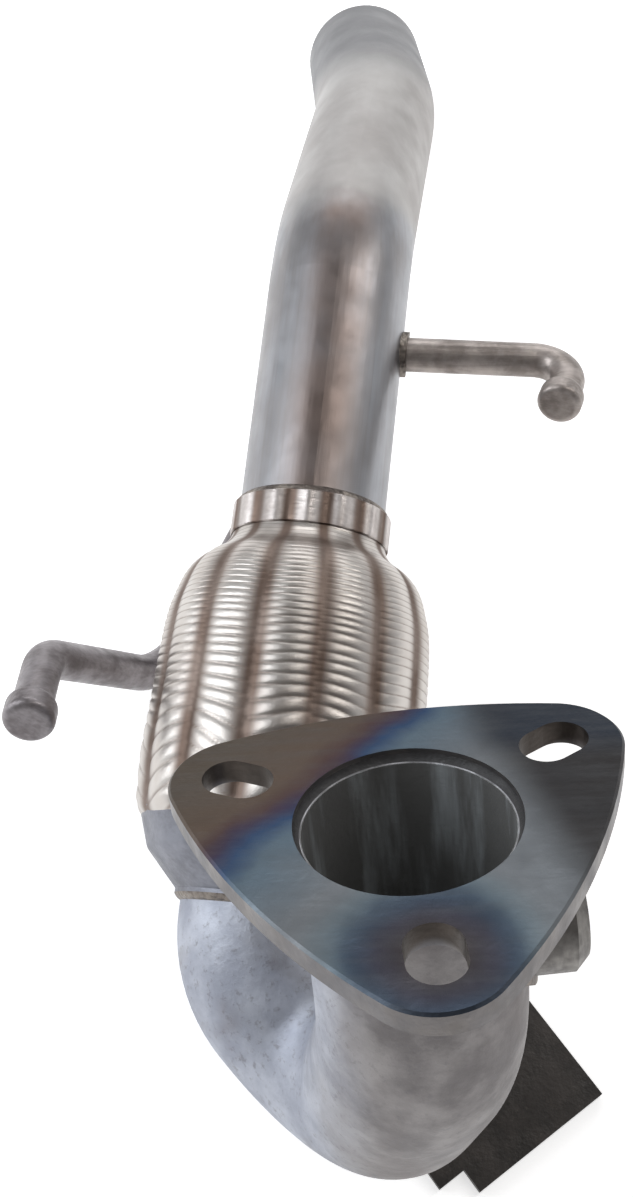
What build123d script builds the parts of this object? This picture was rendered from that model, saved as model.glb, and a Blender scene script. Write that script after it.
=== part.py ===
"""Front exhaust pipe: inlet flange, bent inlet tube, braided flex joint, bent pipe and hanger rods.

Millimetres, +Z up, lying as it rests on the floor at Z = 0. Gas flows from the flange to the open end at +Y.
"""

import os
from math import cos, radians, tan

from build123d import *

os.makedirs("parts", exist_ok=True)

# inlet flange, and the tube that stands in its bore
flange_centre = Vector(21.9, -162.9, 155.5)
flange_normal = Vector(-0.092, 0.527, 0.845).normalized()
flange_hole_turn = 157.6
flange_thickness = 6.0
flange_side_reach = 41.3
flange_lobe_radius = 16.0
bolt_circle_radius = 42.0
slot_width = 12.5
slot_length = 17.0
flange_edge_break = 0.6
tube_recess = 3.0

# the two tube sizes
inlet_radius = 25.0
outlet_radius = 22.5
tube_wall = 1.5
slip_clearance = 0.1
bore_clearance = 0.2

# corners that the tube centre lines bend at, and the radii of the bends
flex_front = Vector(-12.3, -146.8, 37.5)
pipe_crest = Vector(11.0, 56.2, 86.0)
pipe_drop = Vector(24.8, 154.9, 48.6)
pipe_end = Vector(22.0, 213.9, 20.35)
crest_bend_radius = 55.0
drop_bend_radius = 135.0
elbow_front_run = 17.5
elbow_floor_corner = Vector(19.6, -201.5, 25.0)
elbow_rise_run = 64.0
elbow_bend_radii = [28.5, 31.0, 60.0]

# flex joint, measured along its own axis from the front neck
flex_length = 120.0
tube_insertion = 10.0
cap_length = 23.0
cap_wall = 1.2
cap_rim_radius = 40.2
cap_belly_station = 12.0
cap_belly_radius = 36.0
cup_fold_radius = 4.0
braid_radius = 41.0
braid_thickness = 1.2
braid_columns = 14
braid_column_width = 10.5
braid_ridge_height = 0.7
braid_rear_thickness = 0.6
ring_length = 10.0
ring_wall = 0.6
bellows_wall = 0.5
bellows_root_radius = 29.0
bellows_crest_radius = 36.0
bellows_start = 28.0
bellows_pitch = 5.8
bellows_waves = 10
liner_wall = 0.9
liner_rib_height = 1.1
liner_pitch = 6.0
liner_ribs = 14

# hanger rods
left_rod_radius = 6.0
left_knob_radius = 7.7
left_knob_length = 9.0
left_leg_length = 31.0
left_leg_start = 177.0
left_leg_side = Vector(-11.0, 0, -26.0)
left_rod_corner = Vector(-48.5, -56.6, -1.0)
left_rod_elbow = Vector(-79.6, -77.2, 57.0)
left_rod_tip = Vector(-79.8, -104.8, 71.2)
right_rod_radius = 5.4
right_knob_radius = 6.9
right_knob_length = 7.5
right_rod_elbow = Vector(85.1, 18.1, 76.5)
right_rod_tip = Vector(76.4, -4.5, 84.5)
right_rod_station = 174.0

# sensor boss on the rising leg of the inlet tube
boss_drop = 32.0
boss_radius = 13.0
boss_length = 12.7
boss_chamfer = 3.2
boss_bore_radius = 8.2
boss_direction = Vector(0.99, 0.088, 0.047)

# foot bracket under the inlet tube
bracket_corner = Vector(86.8, -194.3, 0)
bracket_turn = 215.9
bracket_width = 46.3
bracket_tab = 8.9
bracket_tab_start = 7.4
bracket_depth = 70.0
bracket_thickness = 3.0
rib_width = 6.0
rib_start = 26.0
rib_end = 64.0
rib_height = 20.0

# weld beads
flange_weld_leg = 4.0
neck_weld_leg = 2.0
inner_weld_width = 1.3
inner_weld_height = 1.7
hanger_weld_radius = 3.2
right_weld_size = 1.8
boss_weld_radius = 2.0
bracket_weld_radius = 2.6
bracket_bead_start = 43.0
bracket_bead_end = 62.0
bracket_bead_sink = 0.6


def bent_path(corners, radii):
    """Straight runs through the corners, joined by bends of the given centre-line radii."""
    start = corners[0]
    for before, corner, after, radius in zip(corners, corners[1:], corners[2:], radii):
        arriving = (corner - before).normalized()
        leaving = (after - corner).normalized()
        half_turn = radians(arriving.get_angle(leaving)) / 2
        bend_start = corner - arriving * radius * tan(half_turn)
        bend_end = corner + leaving * radius * tan(half_turn)
        bend_middle = corner + (leaving - arriving).normalized() * (radius / cos(half_turn) - radius)
        Line(start, bend_start)
        ThreePointArc(bend_start, bend_middle, bend_end)
        start = bend_end
    Line(start, corners[-1])


def runs_along(vector, direction):
    return abs(abs(vector.dot(direction)) - 1) < 1e-4


def rims_of(body, radius):
    circles = body.edges().filter_by(GeomType.CIRCLE)
    return circles.filter_by(lambda edge: abs(edge.radius - radius) < 1e-3)


def fillet_ring(station, radius, height, run):
    """A weld bead section: it stands on the tube at the radius and butts at the station."""
    with BuildLine() as outline:
        Line((station, radius), (station, radius + height))
        ThreePointArc(
            (station, radius + height),
            (station + run * 0.6, radius + height * 0.6),
            (station + run, radius),
        )
        Line((station + run, radius), (station, radius))
    make_face(outline.edges())


def swept_round(corners, radii, radius):
    """A full round bar of the radius along a bent centre line."""
    with BuildPart() as bar:
        with BuildLine() as path:
            bent_path(corners, radii)
        with BuildSketch(plane_at(corners[0], corners[1] - corners[0])):
            Circle(radius)
        sweep(path=path.wires()[0])
    return bar.part


def underside(body, point):
    """Where the body is first met straight above a point."""
    hits = body.find_intersection_points(Axis(point, (0, 0, 1)))
    return min((hit[0] for hit in hits), key=lambda place: place.Z)


def plane_at(point, direction):
    return Plane(origin=point, z_dir=direction)


# the flex joint's axis runs on into the pipe, and its plane holds the profiles that are revolved
flex_axis = (pipe_crest - flex_front).normalized()
flex_rear = flex_front + flex_axis * flex_length
flex_side = flex_axis.cross(Vector(0, 0, 1)).normalized()
flex_profile = Plane(origin=flex_front, x_dir=flex_axis, z_dir=flex_side)
flex_turn = Axis(flex_front, flex_axis)
flange_face = Plane(
    origin=flange_centre,
    x_dir=Vector(0, 1, 0).cross(flange_normal),
    z_dir=flange_normal,
)
leg_top = flange_centre - flange_normal * tube_recess

# inlet flange
side_inset = flange_side_reach - flange_lobe_radius
side_arc_offset = (bolt_circle_radius**2 - side_inset**2) / (2 * side_inset - bolt_circle_radius)
with BuildPart() as inlet_flange:
    with BuildSketch(flange_face):
        with PolarLocations(-side_arc_offset, 1, start_angle=flange_hole_turn + 60):
            Circle(flange_side_reach + side_arc_offset)
        for side in (180, 300):
            with PolarLocations(-side_arc_offset, 1, start_angle=flange_hole_turn + side):
                Circle(flange_side_reach + side_arc_offset, mode=Mode.INTERSECT)
    extrude(amount=-flange_thickness)
    corners = inlet_flange.edges()
    lobe_corners = corners.filter_by(lambda edge: runs_along(edge.tangent_at(0.5), flange_normal))
    fillet(lobe_corners, flange_lobe_radius)
    flat_sides = inlet_flange.faces().filter_by(lambda face: runs_along(face.normal_at(), flange_normal))
    chamfer(flat_sides.edges(), flange_edge_break)
    with BuildSketch(flange_face):
        Circle(inlet_radius + bore_clearance)
        with PolarLocations(bolt_circle_radius, 3, start_angle=flange_hole_turn):
            SlotOverall(slot_length, slot_width)
    extrude(amount=-flange_thickness, mode=Mode.SUBTRACT)
inlet_flange.part.label = "inlet flange"
export_step(inlet_flange.part, "parts/inlet_flange.step")

# bent inlet tube
elbow_corners = [
    flex_front + flex_axis * tube_insertion,
    flex_front - flex_axis * elbow_front_run,
    elbow_floor_corner,
    flange_centre - flange_normal * elbow_rise_run,
    leg_top,
]
boss_axis = (boss_direction - flange_normal * boss_direction.dot(flange_normal)).normalized()
boss_root = flange_centre - flange_normal * boss_drop
boss_face = boss_root + boss_axis * (inlet_radius + boss_length)
elbow_envelope = swept_round(elbow_corners, elbow_bend_radii, inlet_radius)
with BuildPart() as inlet_tube:
    add(elbow_envelope)
    add(swept_round(elbow_corners, elbow_bend_radii, inlet_radius - tube_wall), mode=Mode.SUBTRACT)
    with BuildSketch(plane_at(boss_face, -boss_axis)):
        Circle(boss_bore_radius)
    extrude(amount=boss_length + inlet_radius, mode=Mode.SUBTRACT)
inlet_tube.part.label = "inlet tube"
export_step(inlet_tube.part, "parts/inlet_tube.step")

# weld bead behind the flange
with BuildPart() as flange_weld:
    with BuildSketch(Plane(origin=flange_centre, x_dir=-flange_normal, z_dir=flange_face.x_dir)):
        fillet_ring(flange_thickness, inlet_radius, flange_weld_leg, flange_weld_leg)
    revolve(axis=Axis(flange_centre, flange_normal))
flange_weld.part.label = "flange weld"
export_step(flange_weld.part, "parts/flange_weld.step")

# bead inside the flange, on the recessed end of the tube
with BuildPart() as flange_inner_weld:
    with BuildSketch(Plane(origin=flange_centre, x_dir=-flange_normal, z_dir=flange_face.x_dir)):
        with BuildLine():
            Line((tube_recess, inlet_radius + bore_clearance), (tube_recess, inlet_radius - inner_weld_width))
            ThreePointArc(
                (tube_recess, inlet_radius - inner_weld_width),
                (tube_recess - inner_weld_width * 0.6, inlet_radius - inner_weld_width * 0.3),
                (tube_recess - inner_weld_height, inlet_radius + bore_clearance),
            )
            Line(
                (tube_recess - inner_weld_height, inlet_radius + bore_clearance),
                (tube_recess, inlet_radius + bore_clearance),
            )
        make_face()
    revolve(axis=Axis(flange_centre, flange_normal))
flange_inner_weld.part.label = "flange inner weld"
export_step(flange_inner_weld.part, "parts/flange_inner_weld.step")

# bent rear pipe
pipe_corners = [flex_rear - flex_axis * tube_insertion, pipe_crest, pipe_drop, pipe_end]
pipe_bend_radii = [crest_bend_radius, drop_bend_radius]
pipe_envelope = swept_round(pipe_corners, pipe_bend_radii, outlet_radius)
with BuildPart() as rear_pipe:
    add(pipe_envelope)
    add(swept_round(pipe_corners, pipe_bend_radii, outlet_radius - tube_wall), mode=Mode.SUBTRACT)
rear_pipe.part.label = "rear pipe"
export_step(rear_pipe.part, "parts/rear_pipe.step")

# flex joint: bellows with a collar slipped over each tube
front_collar_radius = inlet_radius + slip_clearance + bellows_wall / 2
rear_collar_radius = outlet_radius + slip_clearance + bellows_wall / 2
joint_end = flex_length - 1.0
bellows_line = [(0, front_collar_radius), (tube_insertion + 1, front_collar_radius)]
for wave in range(bellows_waves):
    station = bellows_start + wave * bellows_pitch
    bellows_line.append((station, bellows_root_radius))
    bellows_line.append((station + bellows_pitch * 0.25, bellows_root_radius))
    bellows_line.append((station + bellows_pitch * 0.25, bellows_crest_radius))
    bellows_line.append((station + bellows_pitch * 0.75, bellows_crest_radius))
    bellows_line.append((station + bellows_pitch * 0.75, bellows_root_radius))
bellows_tail = bellows_start + bellows_waves * bellows_pitch
bellows_line.append((bellows_tail, bellows_root_radius))
bellows_line.append((joint_end - tube_insertion - 5, rear_collar_radius))
bellows_line.append((joint_end, rear_collar_radius))
with BuildPart() as flex_bellows:
    with BuildSketch(flex_profile):
        with BuildLine() as bellows_path:
            Polyline(*bellows_line)
            fillet(bellows_path.vertices().sort_by(Axis.X)[1:-1], radius=0.6)
        trace(line_width=bellows_wall)
    revolve(axis=flex_turn)
flex_bellows.part.label = "flex bellows"
export_step(flex_bellows.part, "parts/flex_bellows.step")

# smooth cup that clamps the braid's front edge
cup_neck_radius = front_collar_radius + bellows_wall / 2 + slip_clearance + cap_wall / 2
cup_rim_radius = cap_rim_radius - cap_wall / 2
cup_neck_length = 1.5
cup_slope = (cup_rim_radius - cap_belly_radius) / (cap_length - cap_belly_station)
with BuildPart() as flex_front_cup:
    with BuildSketch(flex_profile):
        with BuildLine() as cup_line:
            Polyline(
                (0, cup_neck_radius),
                (cup_neck_length, cup_neck_radius),
                (cap_belly_station, cap_belly_radius),
                (cap_length, cup_rim_radius),
            )
            fillet(cup_line.vertices().sort_by(Axis.X)[2], radius=cup_fold_radius)
            fillet(cup_line.vertices().sort_by(Axis.X)[1], radius=1)
        trace(line_width=cap_wall)
    revolve(axis=flex_turn)
flex_front_cup.part.label = "flex front cup"
export_step(flex_front_cup.part, "parts/flex_front_cup.step")

# braid: a barrel that runs out under the cup in front and under a ring at the rear
cup_skin = (cap_wall / 2 + slip_clearance) * (1 + cup_slope**2) ** 0.5
braid_start = cap_length - 8.0
braid_start_radius = cup_rim_radius - cup_slope * (cap_length - braid_start) - cup_skin
braid_rim_radius = cup_rim_radius - cup_skin
braid_rear_radius = rear_collar_radius + bellows_wall / 2 + slip_clearance + braid_rear_thickness
braid_neck = joint_end - ring_length - 0.5
barrel_points = [
    (cap_length, braid_rim_radius),
    (cap_length + 7.0, braid_radius * 0.995),
    (cap_length + 15.0, braid_radius * 1.005),
    (braid_neck - 36.5, braid_radius * 0.975),
    (braid_neck - 26.5, braid_radius * 0.955),
    (braid_neck - 19.5, braid_radius * 0.915),
    (braid_neck - 13.5, braid_radius * 0.86),
    (braid_neck - 8.5, braid_radius * 0.77),
    (braid_neck - 4.5, braid_rear_radius + 2.6),
    (braid_neck, braid_rear_radius),
]
inner_points = [(station, radius - braid_thickness) for station, radius in barrel_points[:-1]]
inner_points.append((braid_neck, braid_rear_radius - braid_rear_thickness))
ridge_points = [(station, radius + braid_ridge_height) for station, radius in barrel_points[1:-1]]
ridge_foot_points = [(station, radius - braid_thickness / 2) for station, radius in barrel_points[1:-1]]
with BuildPart() as braid_ridges:
    with BuildSketch(flex_profile):
        with BuildLine():
            Spline(*ridge_points)
            Line(ridge_points[-1], ridge_foot_points[-1])
            Spline(*ridge_foot_points)
            Line(ridge_foot_points[0], ridge_points[0])
        make_face()
    revolve(axis=flex_turn)
    with BuildSketch(plane_at(flex_front, flex_axis)):
        with PolarLocations(braid_radius * 0.85, braid_columns):
            Rectangle(braid_radius * 0.8, braid_column_width)
    extrude(amount=flex_length, mode=Mode.INTERSECT)
with BuildPart() as flex_braid:
    with BuildSketch(flex_profile):
        with BuildLine():
            Line((braid_start, braid_start_radius), barrel_points[0])
            Spline(*barrel_points)
            Line(barrel_points[-1], (joint_end, braid_rear_radius))
            Line((joint_end, braid_rear_radius), (joint_end, braid_rear_radius - braid_rear_thickness))
            Line((joint_end, braid_rear_radius - braid_rear_thickness), inner_points[-1])
            Spline(*inner_points)
            Line(inner_points[0], (braid_start, braid_start_radius - braid_thickness))
            Line((braid_start, braid_start_radius - braid_thickness), (braid_start, braid_start_radius))
        make_face()
    revolve(axis=flex_turn)
    add(braid_ridges.part)
flex_braid.part.label = "flex braid"
export_step(flex_braid.part, "parts/flex_braid.step")

# ring over the braid's rear edge, and the liner inside
ring_inner_radius = braid_rear_radius + slip_clearance
with BuildPart() as flex_rear_ring:
    with BuildSketch(plane_at(flex_front + flex_axis * (joint_end - ring_length), flex_axis)):
        Circle(ring_inner_radius + ring_wall)
        Circle(ring_inner_radius, mode=Mode.SUBTRACT)
    extrude(amount=ring_length)
    chamfer(rims_of(flex_rear_ring, ring_inner_radius + ring_wall), 0.3)
flex_rear_ring.part.label = "flex rear ring"
export_step(flex_rear_ring.part, "parts/flex_rear_ring.step")

liner_radius = inlet_radius - tube_wall - slip_clearance
liner_start = 3.0
liner_end = flex_length - 22.0
liner_rib_start = 15.0
with BuildPart() as flex_liner:
    with BuildSketch(flex_profile):
        with BuildLine() as liner_section:
            Line((liner_start, liner_radius - liner_wall / 2), (liner_end, liner_radius - liner_wall / 2))
        trace(line_width=liner_wall)
        for rib in range(liner_ribs):
            with Locations((liner_rib_start + rib * liner_pitch, liner_radius + liner_rib_height / 2 - 0.1)):
                Rectangle(liner_pitch / 2, liner_rib_height)
    revolve(axis=flex_turn)
flex_liner.part.label = "flex liner"
export_step(flex_liner.part, "parts/flex_liner.step")

# beads where the tubes enter the flex joint
with BuildPart() as front_neck_weld:
    with BuildSketch(Plane(origin=flex_front, x_dir=-flex_axis, z_dir=flex_side)):
        fillet_ring(0, inlet_radius, neck_weld_leg, neck_weld_leg)
    revolve(axis=flex_turn)
front_neck_weld.part.label = "front neck weld"
export_step(front_neck_weld.part, "parts/front_neck_weld.step")

rear_weld_height = ring_inner_radius + ring_wall - 0.5 - outlet_radius
with BuildPart() as rear_neck_weld:
    with BuildSketch(flex_profile):
        fillet_ring(joint_end, outlet_radius, rear_weld_height, neck_weld_leg)
    revolve(axis=flex_turn)
rear_neck_weld.part.label = "rear neck weld"
export_step(rear_neck_weld.part, "parts/rear_neck_weld.step")


def hanger(corners, radii, rod_radius, knob_radius, knob_length):
    """A round bar along the corners with a broad rounded head at its far end."""
    end_direction = (corners[-1] - corners[-2]).normalized()
    with BuildPart() as knob:
        with BuildSketch(plane_at(corners[-1] - end_direction * knob_length, end_direction)):
            Circle(knob_radius)
        extrude(amount=knob_length)
        fillet(rims_of(knob, knob_radius), knob_length * 0.28)
    with BuildPart() as rod:
        add(swept_round(corners[:-1] + [corners[-1] - end_direction * knob_length / 2], radii, rod_radius))
        add(knob.part)
    return rod.part


# right hanger: butts the pipe's side
right_root = flex_front + flex_axis * right_rod_station
right_way = (right_rod_elbow - right_root).normalized()
right_corners = [right_root + right_way * (outlet_radius - 4), right_rod_elbow, right_rod_tip]
right_bar = hanger(right_corners, [10.0], right_rod_radius, right_knob_radius, right_knob_length)
with BuildPart() as right_hanger_rod:
    add(right_bar)
    add(pipe_envelope, mode=Mode.SUBTRACT)
right_hanger_rod.part.label = "right hanger rod"
export_step(right_hanger_rod.part, "parts/right_hanger_rod.step")

pipe_bead_skin = swept_round(pipe_corners, pipe_bend_radii, outlet_radius + right_weld_size)
with BuildPart() as right_hanger_weld:
    with BuildSketch(plane_at(right_corners[0], right_way)):
        Circle(right_rod_radius + right_weld_size)
        Circle(right_rod_radius, mode=Mode.SUBTRACT)
    extrude(amount=20)
    add(pipe_bead_skin, mode=Mode.INTERSECT)
    add(pipe_envelope, mode=Mode.SUBTRACT)
right_hanger_weld.part.label = "right hanger weld"
export_step(right_hanger_weld.part, "parts/right_hanger_weld.step")

# left hanger: lies along the pipe's lower side, passes under the flex joint and turns out
left_side = (left_leg_side - flex_axis * left_leg_side.dot(flex_axis)).normalized()
left_offset = outlet_radius + left_rod_radius + slip_clearance
left_root = flex_front + flex_axis * left_leg_start + left_side * left_offset
left_leg_end = left_root - flex_axis * left_leg_length
left_corners = [left_root, left_leg_end, left_rod_corner, left_rod_elbow, left_rod_tip]
left_radii = [15.0, 18.0, 13.0]
with BuildPart() as left_hanger_rod:
    add(hanger(left_corners, left_radii, left_rod_radius, left_knob_radius, left_knob_length))
left_hanger_rod.part.label = "left hanger rod"
export_step(left_hanger_rod.part, "parts/left_hanger_rod.step")

left_across = left_side.cross(flex_axis).normalized()
with BuildPart() as left_hanger_welds:
    for way in (-1, 1):
        bead_centre = left_root - flex_axis * 4 - left_side * 5.2 + left_across * 5.4 * way
        with BuildSketch(plane_at(bead_centre, -flex_axis)):
            Circle(hanger_weld_radius)
        extrude(amount=left_leg_length - 8)
    add(pipe_envelope, mode=Mode.SUBTRACT)
    add(left_hanger_rod.part, mode=Mode.SUBTRACT)
left_hanger_welds.part.label = "left hanger welds"
export_step(left_hanger_welds.part, "parts/left_hanger_welds.step")

# threaded boss for the sensor, cut to the straight leg of the tube it stands on
with BuildPart() as rising_leg:
    with BuildSketch(plane_at(leg_top, -flange_normal)):
        Circle(inlet_radius)
    extrude(amount=boss_drop + boss_radius * 2)
with BuildPart() as sensor_boss:
    with BuildSketch(plane_at(boss_face, -boss_axis)):
        Circle(boss_radius)
    extrude(amount=boss_length + 5)
    chamfer(sensor_boss.faces().sort_by_distance(boss_face)[0].edges(), boss_chamfer)
    add(rising_leg.part, mode=Mode.SUBTRACT)
    with BuildSketch(plane_at(boss_face, -boss_axis)):
        Circle(boss_bore_radius)
    extrude(amount=boss_length + 8, mode=Mode.SUBTRACT)
sensor_boss.part.label = "sensor boss"
export_step(sensor_boss.part, "parts/sensor_boss.step")

with BuildPart() as sensor_boss_weld:
    with BuildSketch(plane_at(leg_top, -flange_normal)):
        Circle(inlet_radius + boss_weld_radius)
        Circle(inlet_radius, mode=Mode.SUBTRACT)
    extrude(amount=boss_drop + boss_radius * 2)
    with BuildSketch(plane_at(boss_face, -boss_axis)):
        Circle(boss_radius + boss_weld_radius)
        Circle(boss_radius, mode=Mode.SUBTRACT)
    extrude(amount=boss_length + 6, mode=Mode.INTERSECT)
sensor_boss_weld.part.label = "sensor boss weld"
export_step(sensor_boss_weld.part, "parts/sensor_boss_weld.step")

# foot bracket: a flat plate with a stepped corner and a rib cut to the tube
bracket_plane = Plane(
    origin=bracket_corner,
    x_dir=Vector(1, 0, 0).rotate(Axis.Z, bracket_turn - 90),
    z_dir=Vector(0, 0, 1),
)
bracket_full_width = bracket_width + bracket_tab
with BuildPart() as foot_bracket:
    with BuildSketch(bracket_plane):
        with BuildLine() as plate_outline:
            Polyline(
                (0, 0),
                (0, bracket_width),
                (bracket_tab_start, bracket_width),
                (bracket_tab_start, bracket_full_width),
                (bracket_depth, bracket_full_width),
                (bracket_depth, 0),
                close=True,
            )
        make_face()
    extrude(amount=bracket_thickness)
    with BuildSketch(bracket_plane):
        with Locations(((rib_start + rib_end) / 2, bracket_full_width - rib_width / 2)):
            Rectangle(rib_end - rib_start, rib_width)
    extrude(amount=rib_height)
    add(elbow_envelope, mode=Mode.SUBTRACT)
foot_bracket.part.label = "foot bracket"
export_step(foot_bracket.part, "parts/foot_bracket.step")

bracket_bead_side = bracket_full_width - rib_width - bracket_weld_radius * 0.3
bead_foot, bead_head = [
    underside(elbow_envelope, bracket_plane.from_local_coords(Vector(station, bracket_bead_side, 0)))
    - Vector(0, 0, bracket_bead_sink)
    for station in (bracket_bead_start, bracket_bead_end)
]
with BuildPart() as bracket_weld:
    with BuildSketch(plane_at(bead_foot, bead_head - bead_foot)):
        Circle(bracket_weld_radius)
    extrude(amount=(bead_head - bead_foot).length)
    add(elbow_envelope, mode=Mode.SUBTRACT)
    add(foot_bracket.part, mode=Mode.SUBTRACT)
bracket_weld.part.label = "bracket weld"
export_step(bracket_weld.part, "parts/bracket_weld.step")
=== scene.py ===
from math import cos, floor, pi, radians, sin

import bpy
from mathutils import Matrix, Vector, noise


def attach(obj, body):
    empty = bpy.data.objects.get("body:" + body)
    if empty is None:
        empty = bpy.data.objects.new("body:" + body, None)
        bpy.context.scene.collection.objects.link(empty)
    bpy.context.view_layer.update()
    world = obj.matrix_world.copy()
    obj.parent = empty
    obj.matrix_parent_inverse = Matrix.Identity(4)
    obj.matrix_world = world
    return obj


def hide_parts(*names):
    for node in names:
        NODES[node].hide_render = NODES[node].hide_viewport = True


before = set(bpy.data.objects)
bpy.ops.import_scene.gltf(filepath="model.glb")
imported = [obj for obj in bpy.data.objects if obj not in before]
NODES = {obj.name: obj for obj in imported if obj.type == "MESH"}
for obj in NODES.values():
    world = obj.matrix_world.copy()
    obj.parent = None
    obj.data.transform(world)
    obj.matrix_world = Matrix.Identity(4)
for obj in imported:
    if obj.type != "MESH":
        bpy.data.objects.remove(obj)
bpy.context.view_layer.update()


def mm(*values):
    return Vector(values) * 0.001


# places and sizes repeated from the part's source, in its own frame
flange_centre = mm(21.9, -162.9, 155.5)
flange_normal = Vector((-0.092, 0.527, 0.845)).normalized()
flange_x = Vector((0, 1, 0)).cross(flange_normal).normalized()
flange_y = flange_normal.cross(flange_x)
flange_hole_turn = 157.6
bolt_circle_radius = 0.042
slot_length = 0.017
flex_front = mm(-12.3, -146.8, 37.5)
pipe_crest = mm(11.0, 56.2, 86.0)
flex_axis = (pipe_crest - flex_front).normalized()
flex_up = (Vector((0, 0, 1)) - flex_axis * flex_axis.z).normalized()
flex_side = flex_axis.cross(flex_up)
cup_length = 0.0230
cup_rim_radius = 0.0396
cup_slope = (0.0402 - 0.0360) / (cup_length - 0.0120)
braid_columns = 14


def slot_centre(number):
    turn = radians(flange_hole_turn + 120 * number)
    return flange_centre + (flange_x * cos(turn) + flange_y * sin(turn)) * bolt_circle_radius


class Shader:
    """Short calls for building one node material."""

    def __init__(self, name):
        self.material = bpy.data.materials.new(name)
        self.material.use_nodes = True
        self.tree = self.material.node_tree
        self.tree.nodes.clear()
        self.output = self.tree.nodes.new("ShaderNodeOutputMaterial")
        self.surface = self.tree.nodes.new("ShaderNodeBsdfPrincipled")
        self.tree.links.new(self.surface.outputs[0], self.output.inputs[0])
        self.place = self.tree.nodes.new("ShaderNodeTexCoord").outputs["Object"]

    def node(self, kind, *values, **settings):
        made = self.tree.nodes.new(kind)
        for key, value in settings.items():
            setattr(made, key, value)
        for slot, value in zip(made.inputs, values):
            self.put(slot, value)
        return made

    def put(self, slot, value):
        if isinstance(value, bpy.types.NodeSocket):
            self.tree.links.new(value, slot)
        elif isinstance(value, (tuple, list, Vector)) and len(value) == 3 and slot.type == "RGBA":
            slot.default_value = (*value, 1)
        else:
            slot.default_value = value

    def set(self, **values):
        for key, value in values.items():
            self.put(self.surface.inputs[key.replace("_", " ")], value)

    def math(self, operation, *values):
        return self.node("ShaderNodeMath", *values, operation=operation).outputs[0]

    def vector_math(self, operation, *values):
        return self.node("ShaderNodeVectorMath", *values, operation=operation).outputs

    def add(self, first, second):
        return self.math("ADD", first, second)

    def times(self, first, second):
        return self.math("MULTIPLY", first, second)

    def dot(self, vector, direction):
        return self.vector_math("DOT_PRODUCT", vector, tuple(direction))["Value"]

    def length(self, vector):
        return self.vector_math("LENGTH", vector)["Value"]

    def away(self, point):
        """The vector from the point, in metres."""
        return self.vector_math("SUBTRACT", self.place, tuple(point))[0]

    def scaled(self, direction, amount):
        """A fixed direction times a number that varies."""
        made = self.node("ShaderNodeVectorMath", tuple(direction), operation="SCALE")
        self.put(made.inputs["Scale"], amount)
        return made.outputs[0]

    def off_axis(self, point, axis):
        """How far the place lies from the line through the point."""
        away = self.away(point)
        back = self.scaled(axis, self.times(self.dot(away, axis), -1.0))
        return self.length(self.vector_math("ADD", away, back)[0])

    def stretched(self, along, factor):
        """The place with one direction scaled, so that noise runs long or short there."""
        part = self.times(self.dot(self.place, along), factor - 1)
        return self.vector_math("ADD", self.place, self.scaled(along, part))[0]

    def noise(self, scale, detail=3.0, rough=0.55, vector=None):
        made = self.node("ShaderNodeTexNoise")
        self.put(made.inputs["Vector"], vector or self.place)
        for key, value in (("Scale", scale), ("Detail", detail), ("Roughness", rough)):
            made.inputs[key].default_value = value
        return made.outputs[0]

    def drift(self, reach, scale, detail):
        """Noise that swings about zero."""
        return self.times(self.math("SUBTRACT", self.noise(scale, detail), 0.5), reach)

    def range(self, value, low, high, to_low=0.0, to_high=1.0, smooth=True):
        made = self.node("ShaderNodeMapRange", value, low, high, to_low, to_high)
        made.interpolation_type = "SMOOTHSTEP" if smooth else "LINEAR"
        made.clamp = True
        return made.outputs[0]

    def ramp(self, value, *stops):
        made = self.node("ShaderNodeValToRGB", value)
        points = made.color_ramp.elements
        while len(points) < len(stops):
            points.new(1.0)
        for point, (at, colour) in zip(points, stops):
            point.position = at
            point.color = (*colour, 1)
        return made.outputs[0]

    def mix(self, amount, first, second):
        """A mix of two colours, which are inputs 6 and 7 and output 2 of this node."""
        made = self.node("ShaderNodeMix", data_type="RGBA")
        self.put(made.inputs["Factor"], amount)
        self.put(made.inputs[6], first)
        self.put(made.inputs[7], second)
        return made.outputs[2]

    def bump(self, height, distance, strength=1.0, before=None):
        made = self.node("ShaderNodeBump")
        made.inputs["Strength"].default_value = strength
        made.inputs["Distance"].default_value = distance
        self.put(made.inputs["Height"], height)
        if before:
            self.put(made.inputs["Normal"], before)
        return made.outputs[0]


def srgb(*values):
    """A display colour of 0 to 255 as the linear colour that a shader takes."""
    return tuple(((v / 255 + 0.055) / 1.055) ** 2.4 if v > 10 else v / 255 / 12.92 for v in values)


def dress(material, *names):
    for name in names:
        mesh = NODES[name].data
        if mesh.materials:
            for index in range(len(mesh.materials)):
                mesh.materials[index] = material
        else:
            mesh.materials.append(material)


def worn_metal(name, light, dark, rough, grain, grain_factor, mottle=70, metallic=1.0):
    """Bare steel: two colours in soft patches, fine grain along one direction, and small pits."""
    s = Shader(name)
    patches = s.noise(mottle, 4, 0.6)
    fine = s.noise(900, 3, 0.6, s.stretched(grain, grain_factor))
    amount = s.add(s.times(patches, 0.75), s.times(fine, 0.25))
    s.set(Base_Color=s.mix(s.range(amount, 0.34, 0.66), dark, light))
    s.set(Metallic=metallic)
    s.set(Roughness=s.range(s.noise(mottle * 2.3, 4), 0.3, 0.7, *rough))
    s.set(Normal=s.bump(s.add(fine, s.times(s.noise(380, 2), 0.8)), 0.00012))
    return s


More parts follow.
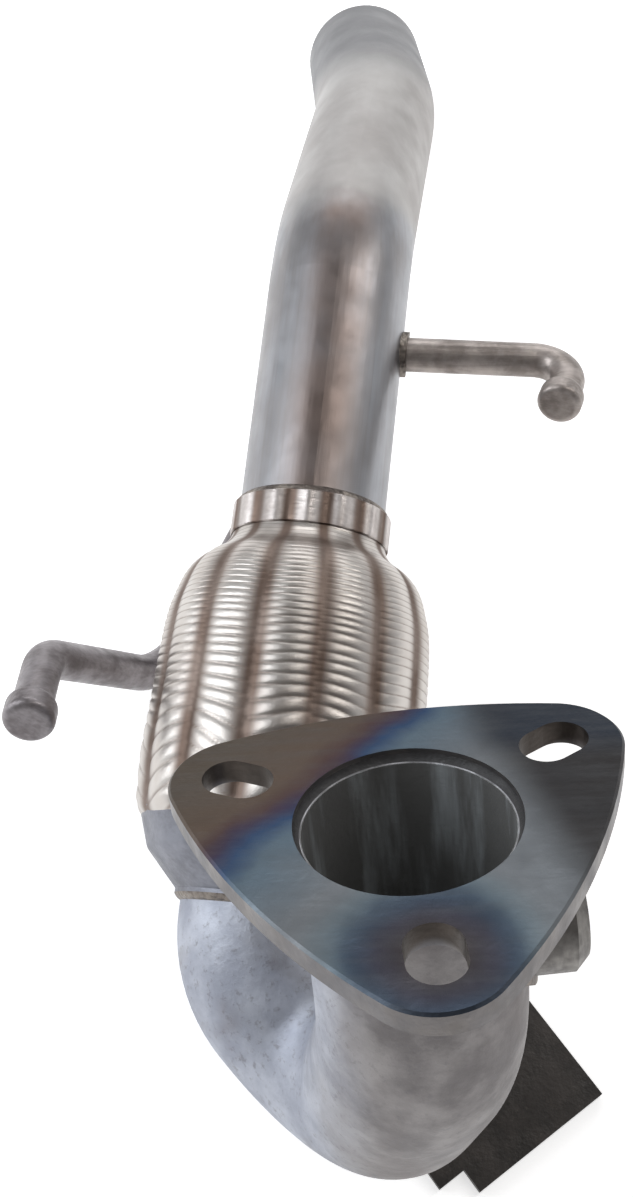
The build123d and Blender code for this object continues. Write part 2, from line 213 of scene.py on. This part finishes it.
# triangular flange: heat colours run as bands over the grey plate
def flange_material():
    s = Shader("flange_heat_tint")
    from_centre = s.away(flange_centre)
    across = s.dot(from_centre, flange_x)
    upward = s.dot(from_centre, flange_y)
    drift = s.drift(0.016, 38, 3)

    # straw and brown at the left slot, then purple and blue, then grey
    band = s.add(s.times(across, 0.80), s.times(upward, -0.61))
    band = s.add(s.add(band, 0.026), drift)
    left_tint = s.ramp(
        s.range(band, -0.024, 0.026, smooth=False),
        (0.0, srgb(80, 71, 62)), (0.34, srgb(86, 72, 62)), (0.43, srgb(74, 56, 54)),
        (0.50, srgb(56, 48, 68)), (0.58, srgb(40, 64, 96)),
        (0.68, srgb(84, 100, 112)), (1.0, srgb(104, 108, 112)),
    )

    # dark round the low slot, then teal
    away_low = s.add(s.length(s.away(slot_centre(1))), s.times(drift, 0.6))
    low_tint = s.ramp(
        s.range(away_low, 0.006, 0.032, smooth=False),
        (0.0, srgb(56, 50, 50)), (0.22, srgb(52, 52, 62)), (0.45, srgb(50, 66, 82)),
        (0.68, srgb(84, 108, 118)), (1.0, srgb(108, 120, 122)),
    )
    colour = s.mix(s.range(away_low, 0.014, 0.028, 1.0, 0.0), left_tint, low_tint)

    # dark grey on the right, dark blue at the upper right corner
    right_share = s.range(s.add(across, s.times(upward, 0.35)), 0.021, 0.036)
    colour = s.mix(right_share, colour, s.mix(s.noise(60, 3), srgb(32, 33, 37), srgb(50, 46, 44)))
    top_share = s.times(s.range(upward, 0.018, 0.030), s.range(across, 0.008, 0.026))
    colour = s.mix(s.times(top_share, 0.85), colour, srgb(32, 40, 52))
    streaks = s.noise(300, 4, 0.6, s.stretched(flange_x, 0.15))
    colour = s.mix(s.range(streaks, 0.35, 0.75, 0.0, 0.22), colour, srgb(82, 84, 86))

    # cut edges are plain grey, and the slots' walls are painted dark as shade inside the slots
    normal = s.node("ShaderNodeNewGeometry").outputs["Normal"]
    face = s.range(s.math("ABSOLUTE", s.dot(normal, flange_normal)), 0.3, 0.8)
    colour = s.mix(face, s.mix(s.noise(90, 4), srgb(92, 95, 104), srgb(142, 135, 128)), colour)
    cut = s.math("SUBTRACT", 1.0, face)
    slot_end = slot_length / 2
    for number in range(3):
        from_slot = s.length(s.away(slot_centre(number)))
        slot_wall_shade = s.times(s.range(from_slot, slot_end + 0.0020, slot_end + 0.0005), cut)
        colour = s.mix(slot_wall_shade, colour, s.mix(s.noise(160, 3), srgb(50, 46, 43), srgb(84, 76, 70)))
    s.set(Base_Color=colour)
    s.set(Metallic=0.85)
    s.set(Roughness=s.range(s.noise(120, 4), 0.3, 0.7, 0.34, 0.52))
    s.set(Normal=s.bump(s.add(streaks, s.noise(500, 3)), 0.00012))
    return s.material


# inlet tube: matte light steel outside, with painted light: lighter and cool on the left, darker and warm on
# the right; sooty inside
def inlet_material():
    mid_wall_radius = 0.02426
    straight_leg = 0.051
    s = Shader("inlet_tube_steel")
    from_axis = s.off_axis(flange_centre, flange_normal)
    down = s.times(s.dot(s.away(flange_centre), flange_normal), -1.0)
    inside = s.times(s.math("LESS_THAN", from_axis, mid_wall_radius), s.math("LESS_THAN", down, straight_leg))
    patches = s.noise(55, 5, 0.62)
    painted_lit_left = s.mix(s.range(patches, 0.35, 0.65), srgb(164, 168, 180), srgb(190, 194, 204))
    painted_shaded_right = s.mix(s.range(patches, 0.35, 0.65), srgb(122, 118, 118), srgb(152, 148, 147))
    # painted light and shade: the left side takes the light cool colours, the right side the dark warm ones
    side = s.add(s.dot(s.place, (1, 0, 0)), s.drift(0.012, 24, 2))
    outside = s.mix(s.range(side, -0.004, 0.018), painted_lit_left, painted_shaded_right)
    flecks = s.noise(420, 4, 0.7)
    outside = s.mix(s.range(flecks, 0.54, 0.70, 0.0, 0.5), outside, srgb(124, 121, 123))
    stain_and_painted_reflection = s.noise(30, 4, 0.6, s.stretched((0, 0, 1), 0.35))
    outside = s.mix(s.range(stain_and_painted_reflection, 0.50, 0.68, 0.0, 0.45), outside, srgb(130, 123, 121))
    runs = s.range(s.noise(160, 4, 0.6, s.stretched(flange_normal, 0.12)), 0.45, 0.75)
    soot = s.mix(runs, srgb(118, 118, 117), srgb(172, 177, 180))
    s.set(Base_Color=s.mix(inside, outside, soot))
    s.set(Metallic=s.range(inside, 0, 1, 0.75, 0.35, smooth=False))
    s.set(Roughness=s.add(s.range(s.noise(150, 4), 0.3, 0.7, 0.50, 0.60), s.times(inside, 0.02)))
    s.set(Normal=s.bump(s.add(flecks, s.times(patches, 2.0)), 0.00015))
    return s.material


# rear pipe: drawn tube with long scratches, a warm dark band along the crown that is a painted reflection,
# and bending marks
def pipe_material():
    painted_band_end = 0.210
    s = Shader("rear_pipe_steel")
    scratches = s.noise(700, 4, 0.6, s.stretched(flex_axis, 0.04))
    patches = s.noise(34, 4, 0.6, s.stretched(flex_axis, 0.45))
    patch_share = s.range(patches, 0.32, 0.68)
    base = s.mix(patch_share, srgb(144, 142, 143), srgb(164, 166, 171))
    base = s.mix(s.range(scratches, 0.35, 0.75, 0.0, 0.30), base, srgb(136, 130, 127))
    from_front = s.away(flex_front)
    along = s.dot(from_front, flex_axis)
    side = s.dot(from_front, flex_side)
    # painted reflection: the crown, which faces the camera and the dark room overhead, is painted warm and
    # dark over the front part
    off_crown = s.math("ABSOLUTE", s.add(side, -0.001))
    crown = s.math("SUBTRACT", 1.0, s.range(off_crown, 0.003, 0.015))
    near = s.range(s.add(along, s.drift(0.02, 60, 2)), painted_band_end, painted_band_end + 0.018, 1.0, 0.0)
    beyond = s.math("SUBTRACT", 1.0, near)
    stain_and_painted_reflection = s.times(s.times(crown, near), s.range(s.noise(26, 3), 0.25, 0.6, 0.55, 0.95))
    base = s.mix(beyond, base, s.mix(patch_share, srgb(176, 172, 170), srgb(196, 194, 192)))
    base = s.mix(s.range(along, 0.292, 0.328), base, srgb(142, 142, 144))
    s.set(Base_Color=s.mix(stain_and_painted_reflection, base, srgb(134, 120, 114)))
    s.set(Metallic=s.range(beyond, 0.0, 1.0, 1.0, 0.8))
    s.set(Roughness=s.add(s.range(s.noise(90, 4), 0.3, 0.7, 0.32, 0.44), s.times(beyond, 0.16)))
    ripple = s.node("ShaderNodeTexWave", wave_type="BANDS", bands_direction="Y")
    s.put(ripple.inputs["Vector"], s.place)
    for key, value in (("Scale", 16.0), ("Distortion", 2.5), ("Detail", 2.0), ("Detail Scale", 2.0)):
        ripple.inputs[key].default_value = value
    dents = s.times(s.times(ripple.outputs[1], s.range(along, 0.23, 0.30)), 0.6)
    height = s.bump(s.add(dents, patches), 0.0009, 0.5)
    s.set(Normal=s.bump(scratches, 0.00006, 1.0, height))
    return s.material


# the rear ring is pressed over the braid and shows its columns, with painted shade in the grooves between
# them
def ring_material():
    s = worn_metal(
        "flex_ring_steel", srgb(214, 208, 205), srgb(184, 176, 172), (0.38, 0.52), flex_side, 0.15,
    )
    plain_colour = s.surface.inputs["Base Color"].links[0].from_socket
    plain_bump = s.surface.inputs["Normal"].links[0].from_socket
    from_front = s.away(flex_front)
    turn = s.math("ARCTAN2", s.dot(from_front, flex_side), s.dot(from_front, flex_up))
    column = s.math("COSINE", s.times(turn, float(braid_columns)))
    # painted shade: the grooves between the columns are dark brown
    s.set(Base_Color=s.mix(s.range(column, -0.9, 0.3), srgb(116, 100, 91), plain_colour))
    s.set(Normal=s.bump(column, 0.0012, 0.8, plain_bump))
    return s.material


def weld_material():
    s = Shader("weld_bead_metal")
    ripples = s.node("ShaderNodeTexVoronoi", feature="F1")
    s.put(ripples.inputs["Vector"], s.place)
    ripples.inputs["Scale"].default_value = 560
    patches = s.noise(150, 4)
    s.set(Base_Color=s.mix(s.range(patches, 0.35, 0.65), srgb(88, 80, 76), srgb(150, 142, 134)))
    s.set(Metallic=0.9)
    s.set(Roughness=s.range(s.noise(300, 3), 0.3, 0.7, 0.38, 0.6))
    s.set(Normal=s.bump(s.math("SUBTRACT", 1.0, ripples.outputs["Distance"]), 0.0006, 0.8))
    return s.material


# the bead inside the flange is sooty, with a bright inner lip
def inner_weld_material():
    lip_start = 0.02400
    lip_end = 0.02385
    s = Shader("inner_weld_soot")
    from_axis = s.off_axis(flange_centre, flange_normal)
    lip = s.times(s.range(from_axis, lip_start, lip_end), s.range(s.noise(90, 3), 0.35, 0.6, 0.3, 1.0))
    soot = s.mix(s.noise(200, 4), srgb(44, 44, 45), srgb(70, 69, 70))
    s.set(Base_Color=s.mix(lip, soot, srgb(190, 190, 194)))
    s.set(Metallic=s.range(lip, 0.0, 1.0, 0.4, 0.9))
    s.set(Roughness=s.range(s.noise(300, 3), 0.3, 0.7, 0.45, 0.6))
    s.set(Normal=s.bump(s.noise(700, 3), 0.0002))
    return s.material


# foot bracket: near-black painted shade for the shadow under the elbow, with lighter worn patches
def bracket_material():
    s = Shader("bracket_painted_shade")
    patches = s.noise(70, 5, 0.62)
    worn = s.range(s.noise(260, 5, 0.7), 0.58, 0.74)
    colour = s.mix(s.range(patches, 0.35, 0.65), srgb(46, 43, 41), srgb(66, 61, 58))
    s.set(Base_Color=s.mix(s.times(worn, 0.5), colour, srgb(96, 88, 82)))
    s.set(Roughness=s.range(s.noise(120, 4), 0.3, 0.7, 0.42, 0.62))
    s.set(Metallic=0.25)
    s.set(Normal=s.bump(s.add(patches, s.noise(700, 3)), 0.00018))
    return s.material


cup = worn_metal("flex_cup_steel", srgb(136, 138, 146), srgb(112, 113, 120), (0.36, 0.50), flex_side, 0.15)
inner = worn_metal("flex_inner_steel", srgb(120, 116, 112), srgb(84, 80, 78), (0.4, 0.6), flex_side, 0.2)
left_rod = worn_metal(
    "left_hanger_steel", srgb(152, 147, 149), srgb(116, 110, 111), (0.34, 0.52),
    Vector((-0.6, -0.1, 0.5)).normalized(), 0.06, 120, 0.75,
)
right_rod = worn_metal(
    "right_hanger_steel", srgb(180, 171, 166), srgb(132, 124, 119), (0.34, 0.52),
    Vector((1, 0, 0)), 0.06, 120, 0.75,
)
boss = worn_metal(
    "sensor_boss_steel", srgb(136, 133, 129), srgb(100, 97, 95), (0.36, 0.55), flange_normal, 0.1, 150,
)
dress(flange_material(), "inlet_flange")
dress(inlet_material(), "inlet_tube")
dress(pipe_material(), "rear_pipe")
dress(cup.material, "flex_front_cup")
dress(ring_material(), "flex_rear_ring")
dress(inner.material, "flex_bellows", "flex_liner")
dress(left_rod.material, "left_hanger_rod")
dress(right_rod.material, "right_hanger_rod")
dress(boss.material, "sensor_boss")
dress(inner_weld_material(), "flange_inner_weld")
dress(
    weld_material(), "flange_weld", "front_neck_weld", "rear_neck_weld",
    "right_hanger_weld", "left_hanger_welds", "sensor_boss_weld", "bracket_weld",
)
dress(bracket_material(), "foot_bracket")

# woven braid: the barrel's radius at stations along the flex axis, from over the cup's rim to the ring
braid_edge = 0.0196
barrel = [
    (braid_edge, cup_rim_radius - cup_slope * (cup_length - braid_edge) - 0.0001),
    (0.0212, cup_rim_radius + 0.0001), (0.0232, cup_rim_radius + 0.0008),
    (0.0262, 0.0406), (0.0300, 0.0408), (0.0380, 0.0412), (0.0540, 0.0406), (0.0720, 0.0400),
    (0.0820, 0.0392), (0.0890, 0.0375), (0.0950, 0.0353), (0.1000, 0.0316), (0.1040, 0.0264),
    (0.1085, 0.0239), (0.1185, 0.0237),
]

# the strands lie loose and wide in front and are pushed close together at the rear
row_pitch = [
    (0.016, 0.0062), (0.040, 0.0060), (0.050, 0.0042), (0.060, 0.0031),
    (0.074, 0.0025), (0.088, 0.0018), (0.119, 0.0013),
]


def clamped(value):
    return min(max(value, 0), 1)


def smooth_through(points, at):
    """A smooth curve through the points, with each slope taken from the points on both sides."""
    last = len(points) - 1
    for i in range(last):
        if at <= points[i + 1][0] or i == last - 1:
            break
    before, start, end, after = (points[max(0, min(last, j))] for j in (i - 1, i, i + 1, i + 2))
    span = end[0] - start[0]
    t = clamped((at - start[0]) / span)
    slope_in = (end[1] - before[1]) / (end[0] - before[0])
    slope_out = (after[1] - start[1]) / (after[0] - start[0])
    a, b = 2 * t**3 - 3 * t**2 + 1, t**3 - 2 * t**2 + t
    c, d = -2 * t**3 + 3 * t**2, t**3 - t**2
    return a * start[1] + b * span * slope_in + c * end[1] + d * span * slope_out


def strand(column, row, station):
    """Crown and pillow of the weave, each 0 to 1: high in a column's middle and in a strand's middle."""
    index = floor(column + 0.5)
    side = 2 * (column - index)
    crown = 1 - side**2
    loose = clamped((0.062 - station) / 0.025)
    slant = (0.22 + 0.55 * loose) * sin(side * 1.35) * (1 if index % 2 else -0.7)
    wobble = noise.noise(Vector((index * 3.1, row * 0.35, 0))) * 0.25
    phase = row + slant + 0.5 * (index % 2) + wobble
    part = phase - floor(phase)
    pillow = 1 - abs(2 * part - 1) ** 3.2
    return crown, pillow


def braid_mesh():
    rings_per_row = 10
    around = braid_columns * 16
    column_height = 0.00115
    strand_height = 0.00062
    sink = 0.00055
    end = barrel[-1][0]
    stations = [braid_edge]
    while stations[-1] < end:
        stations.append(stations[-1] + smooth_through(row_pitch, stations[-1]) / rings_per_row)
    verts, crowns, pillows = [], [], []
    for number, station in enumerate(stations):
        row = number / rings_per_row
        radius = smooth_through(barrel, min(station, end))
        row_height = min(0.00016 * smooth_through(row_pitch, station) / 0.0013, strand_height)
        swell = clamped((station - 0.0204) / 0.005) * clamped((0.1075 - station) / 0.010)
        for k in range(around):
            turn = k / around
            crown, pillow = strand(turn * braid_columns, row, station)
            lobe = pillow * (0.35 + 0.65 * crown)
            height = swell * (column_height * crown + row_height * lobe - sink)
            out = flex_up * cos(2 * pi * turn) + flex_side * sin(2 * pi * turn)
            verts.append(flex_front + flex_axis * station + out * (radius + height))
            crowns.append(crown)
            pillows.append(pillow)
    faces = []
    for first in range(0, (len(stations) - 1) * around, around):
        second = first + around
        for k in range(around):
            following = (k + 1) % around
            faces.append((first + k, second + k, second + following, first + following))
    mesh = bpy.data.meshes.new("woven_braid")
    mesh.from_pydata(verts, [], faces)
    for label, values in (("crown", crowns), ("pillow", pillows)):
        mesh.attributes.new(label, "FLOAT", "POINT").data.foreach_set("value", values)
    mesh.polygons.foreach_set("use_smooth", [True] * len(mesh.polygons))
    mesh.update()
    return mesh


def braid_material():
    s = Shader("braid_wire_steel")
    crown = s.node("ShaderNodeAttribute", attribute_name="crown").outputs["Fac"]
    pillow = s.node("ShaderNodeAttribute", attribute_name="pillow").outputs["Fac"]
    # painted light and shade: the crowns of the weave are painted light as highlights, the valleys between
    # them dark brown as shade
    painted_light_share = s.times(s.range(crown, 0.22, 0.92), s.range(pillow, 0.0, 0.7, 0.40, 1.0))
    colour = s.mix(painted_light_share, srgb(112, 96, 87), srgb(200, 195, 190))
    colour = s.mix(s.range(s.noise(60, 3), 0.35, 0.65, 0.0, 0.3), colour, srgb(168, 156, 148))
    s.set(Base_Color=colour)
    s.set(Metallic=1.0)
    s.set(Roughness=s.range(painted_light_share, 0.0, 1.0, 0.5, 0.33))
    s.set(Normal=s.bump(s.noise(2600, 2, 0.5), 0.00008, 0.8))
    return s.material


braid = bpy.data.objects.new("woven_braid", braid_mesh())
bpy.context.collection.objects.link(braid)
braid.data.materials.append(braid_material())
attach(braid, "root")
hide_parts("flex_braid")


# studio floor: pale, lit by the lamps, and white where the camera or a reflection sees it
def studio_floor():
    reach = 4
    depth = -0.0003
    corners = [(-reach, -reach, depth), (reach, -reach, depth), (reach, reach, depth), (-reach, reach, depth)]
    s = Shader("studio_floor_pale")
    path = s.node("ShaderNodeLightPath")
    seen = s.math("MAXIMUM", path.outputs["Is Camera Ray"], path.outputs["Is Glossy Ray"])
    s.set(Base_Color=(0.93, 0.93, 0.93))
    s.set(Roughness=0.9)
    s.set(Specular_IOR_Level=0.1)
    s.set(Emission_Color=(1.0, 1.0, 1.0))
    s.set(Emission_Strength=s.times(seen, 0.60))
    mesh = bpy.data.meshes.new("studio_floor")
    mesh.from_pydata(corners, [], [(0, 1, 2, 3)])
    mesh.materials.append(s.material)
    floor_piece = bpy.data.objects.new("studio_floor", mesh)
    bpy.context.collection.objects.link(floor_piece)


def lamp(name, place, aim, size, power, colour=(1, 1, 1)):
    data = bpy.data.lights.new(name, "AREA")
    data.shape = "RECTANGLE"
    data.size, data.size_y = size
    data.energy = power
    data.color = colour
    made = bpy.data.objects.new(name, data)
    made.location = place
    made.rotation_euler = (Vector(aim) - Vector(place)).to_track_quat("-Z", "Y").to_euler()
    bpy.context.collection.objects.link(made)


# a dim room, darker overhead behind the camera, so that the steel shows soft bands
def studio_room():
    dark_way = Vector((0.12, -0.30, 0.94)).normalized()
    world = bpy.data.worlds.new("studio_room")
    bpy.context.scene.world = world
    world.use_nodes = True
    tree = world.node_tree
    tree.nodes.clear()
    coordinate = tree.nodes.new("ShaderNodeTexCoord")
    facing = tree.nodes.new("ShaderNodeVectorMath")
    facing.operation = "DOT_PRODUCT"
    facing.inputs[1].default_value = dark_way
    fade = tree.nodes.new("ShaderNodeValToRGB")
    bright, dark = fade.color_ramp.elements
    bright.position = 0.30
    bright.color = (0.56, 0.57, 0.585, 1)
    dark.position = 0.90
    dark.color = (0.17, 0.16, 0.155, 1)
    sky = tree.nodes.new("ShaderNodeBackground")
    sky.inputs["Strength"].default_value = 1.0
    sky_out = tree.nodes.new("ShaderNodeOutputWorld")
    tree.links.new(coordinate.outputs["Generated"], facing.inputs[0])
    tree.links.new(facing.outputs["Value"], fade.inputs[0])
    tree.links.new(fade.outputs[0], sky.inputs["Color"])
    tree.links.new(sky.outputs[0], sky_out.inputs[0])


# camera as the photograph has it
def photo_camera():
    data = bpy.data.cameras.new("photo_camera")
    data.lens = 45.113
    data.sensor_width = 36
    made = bpy.data.objects.new("photo_camera", data)
    made.location = (0.0022, -0.2733, 0.4638)
    made.rotation_euler = (radians(28), 0, 0)
    bpy.context.collection.objects.link(made)
    bpy.context.scene.camera = made


studio_floor()
lamp("soft_left", (-0.95, 0.05, 0.75), (0, 0, 0.06), (0.5, 1.3), 7.0, (0.92, 0.96, 1.0))
lamp("soft_right", (0.62, 0.25, 0.95), (0, 0, 0.06), (0.16, 1.0), 2.6, (1.0, 0.98, 0.95))
lamp("soft_back", (0.1, 1.1, 0.7), (0, 0.05, 0.06), (1.0, 0.5), 3.2)
studio_room()
photo_camera()
bpy.context.scene.view_settings.view_transform = "Standard"
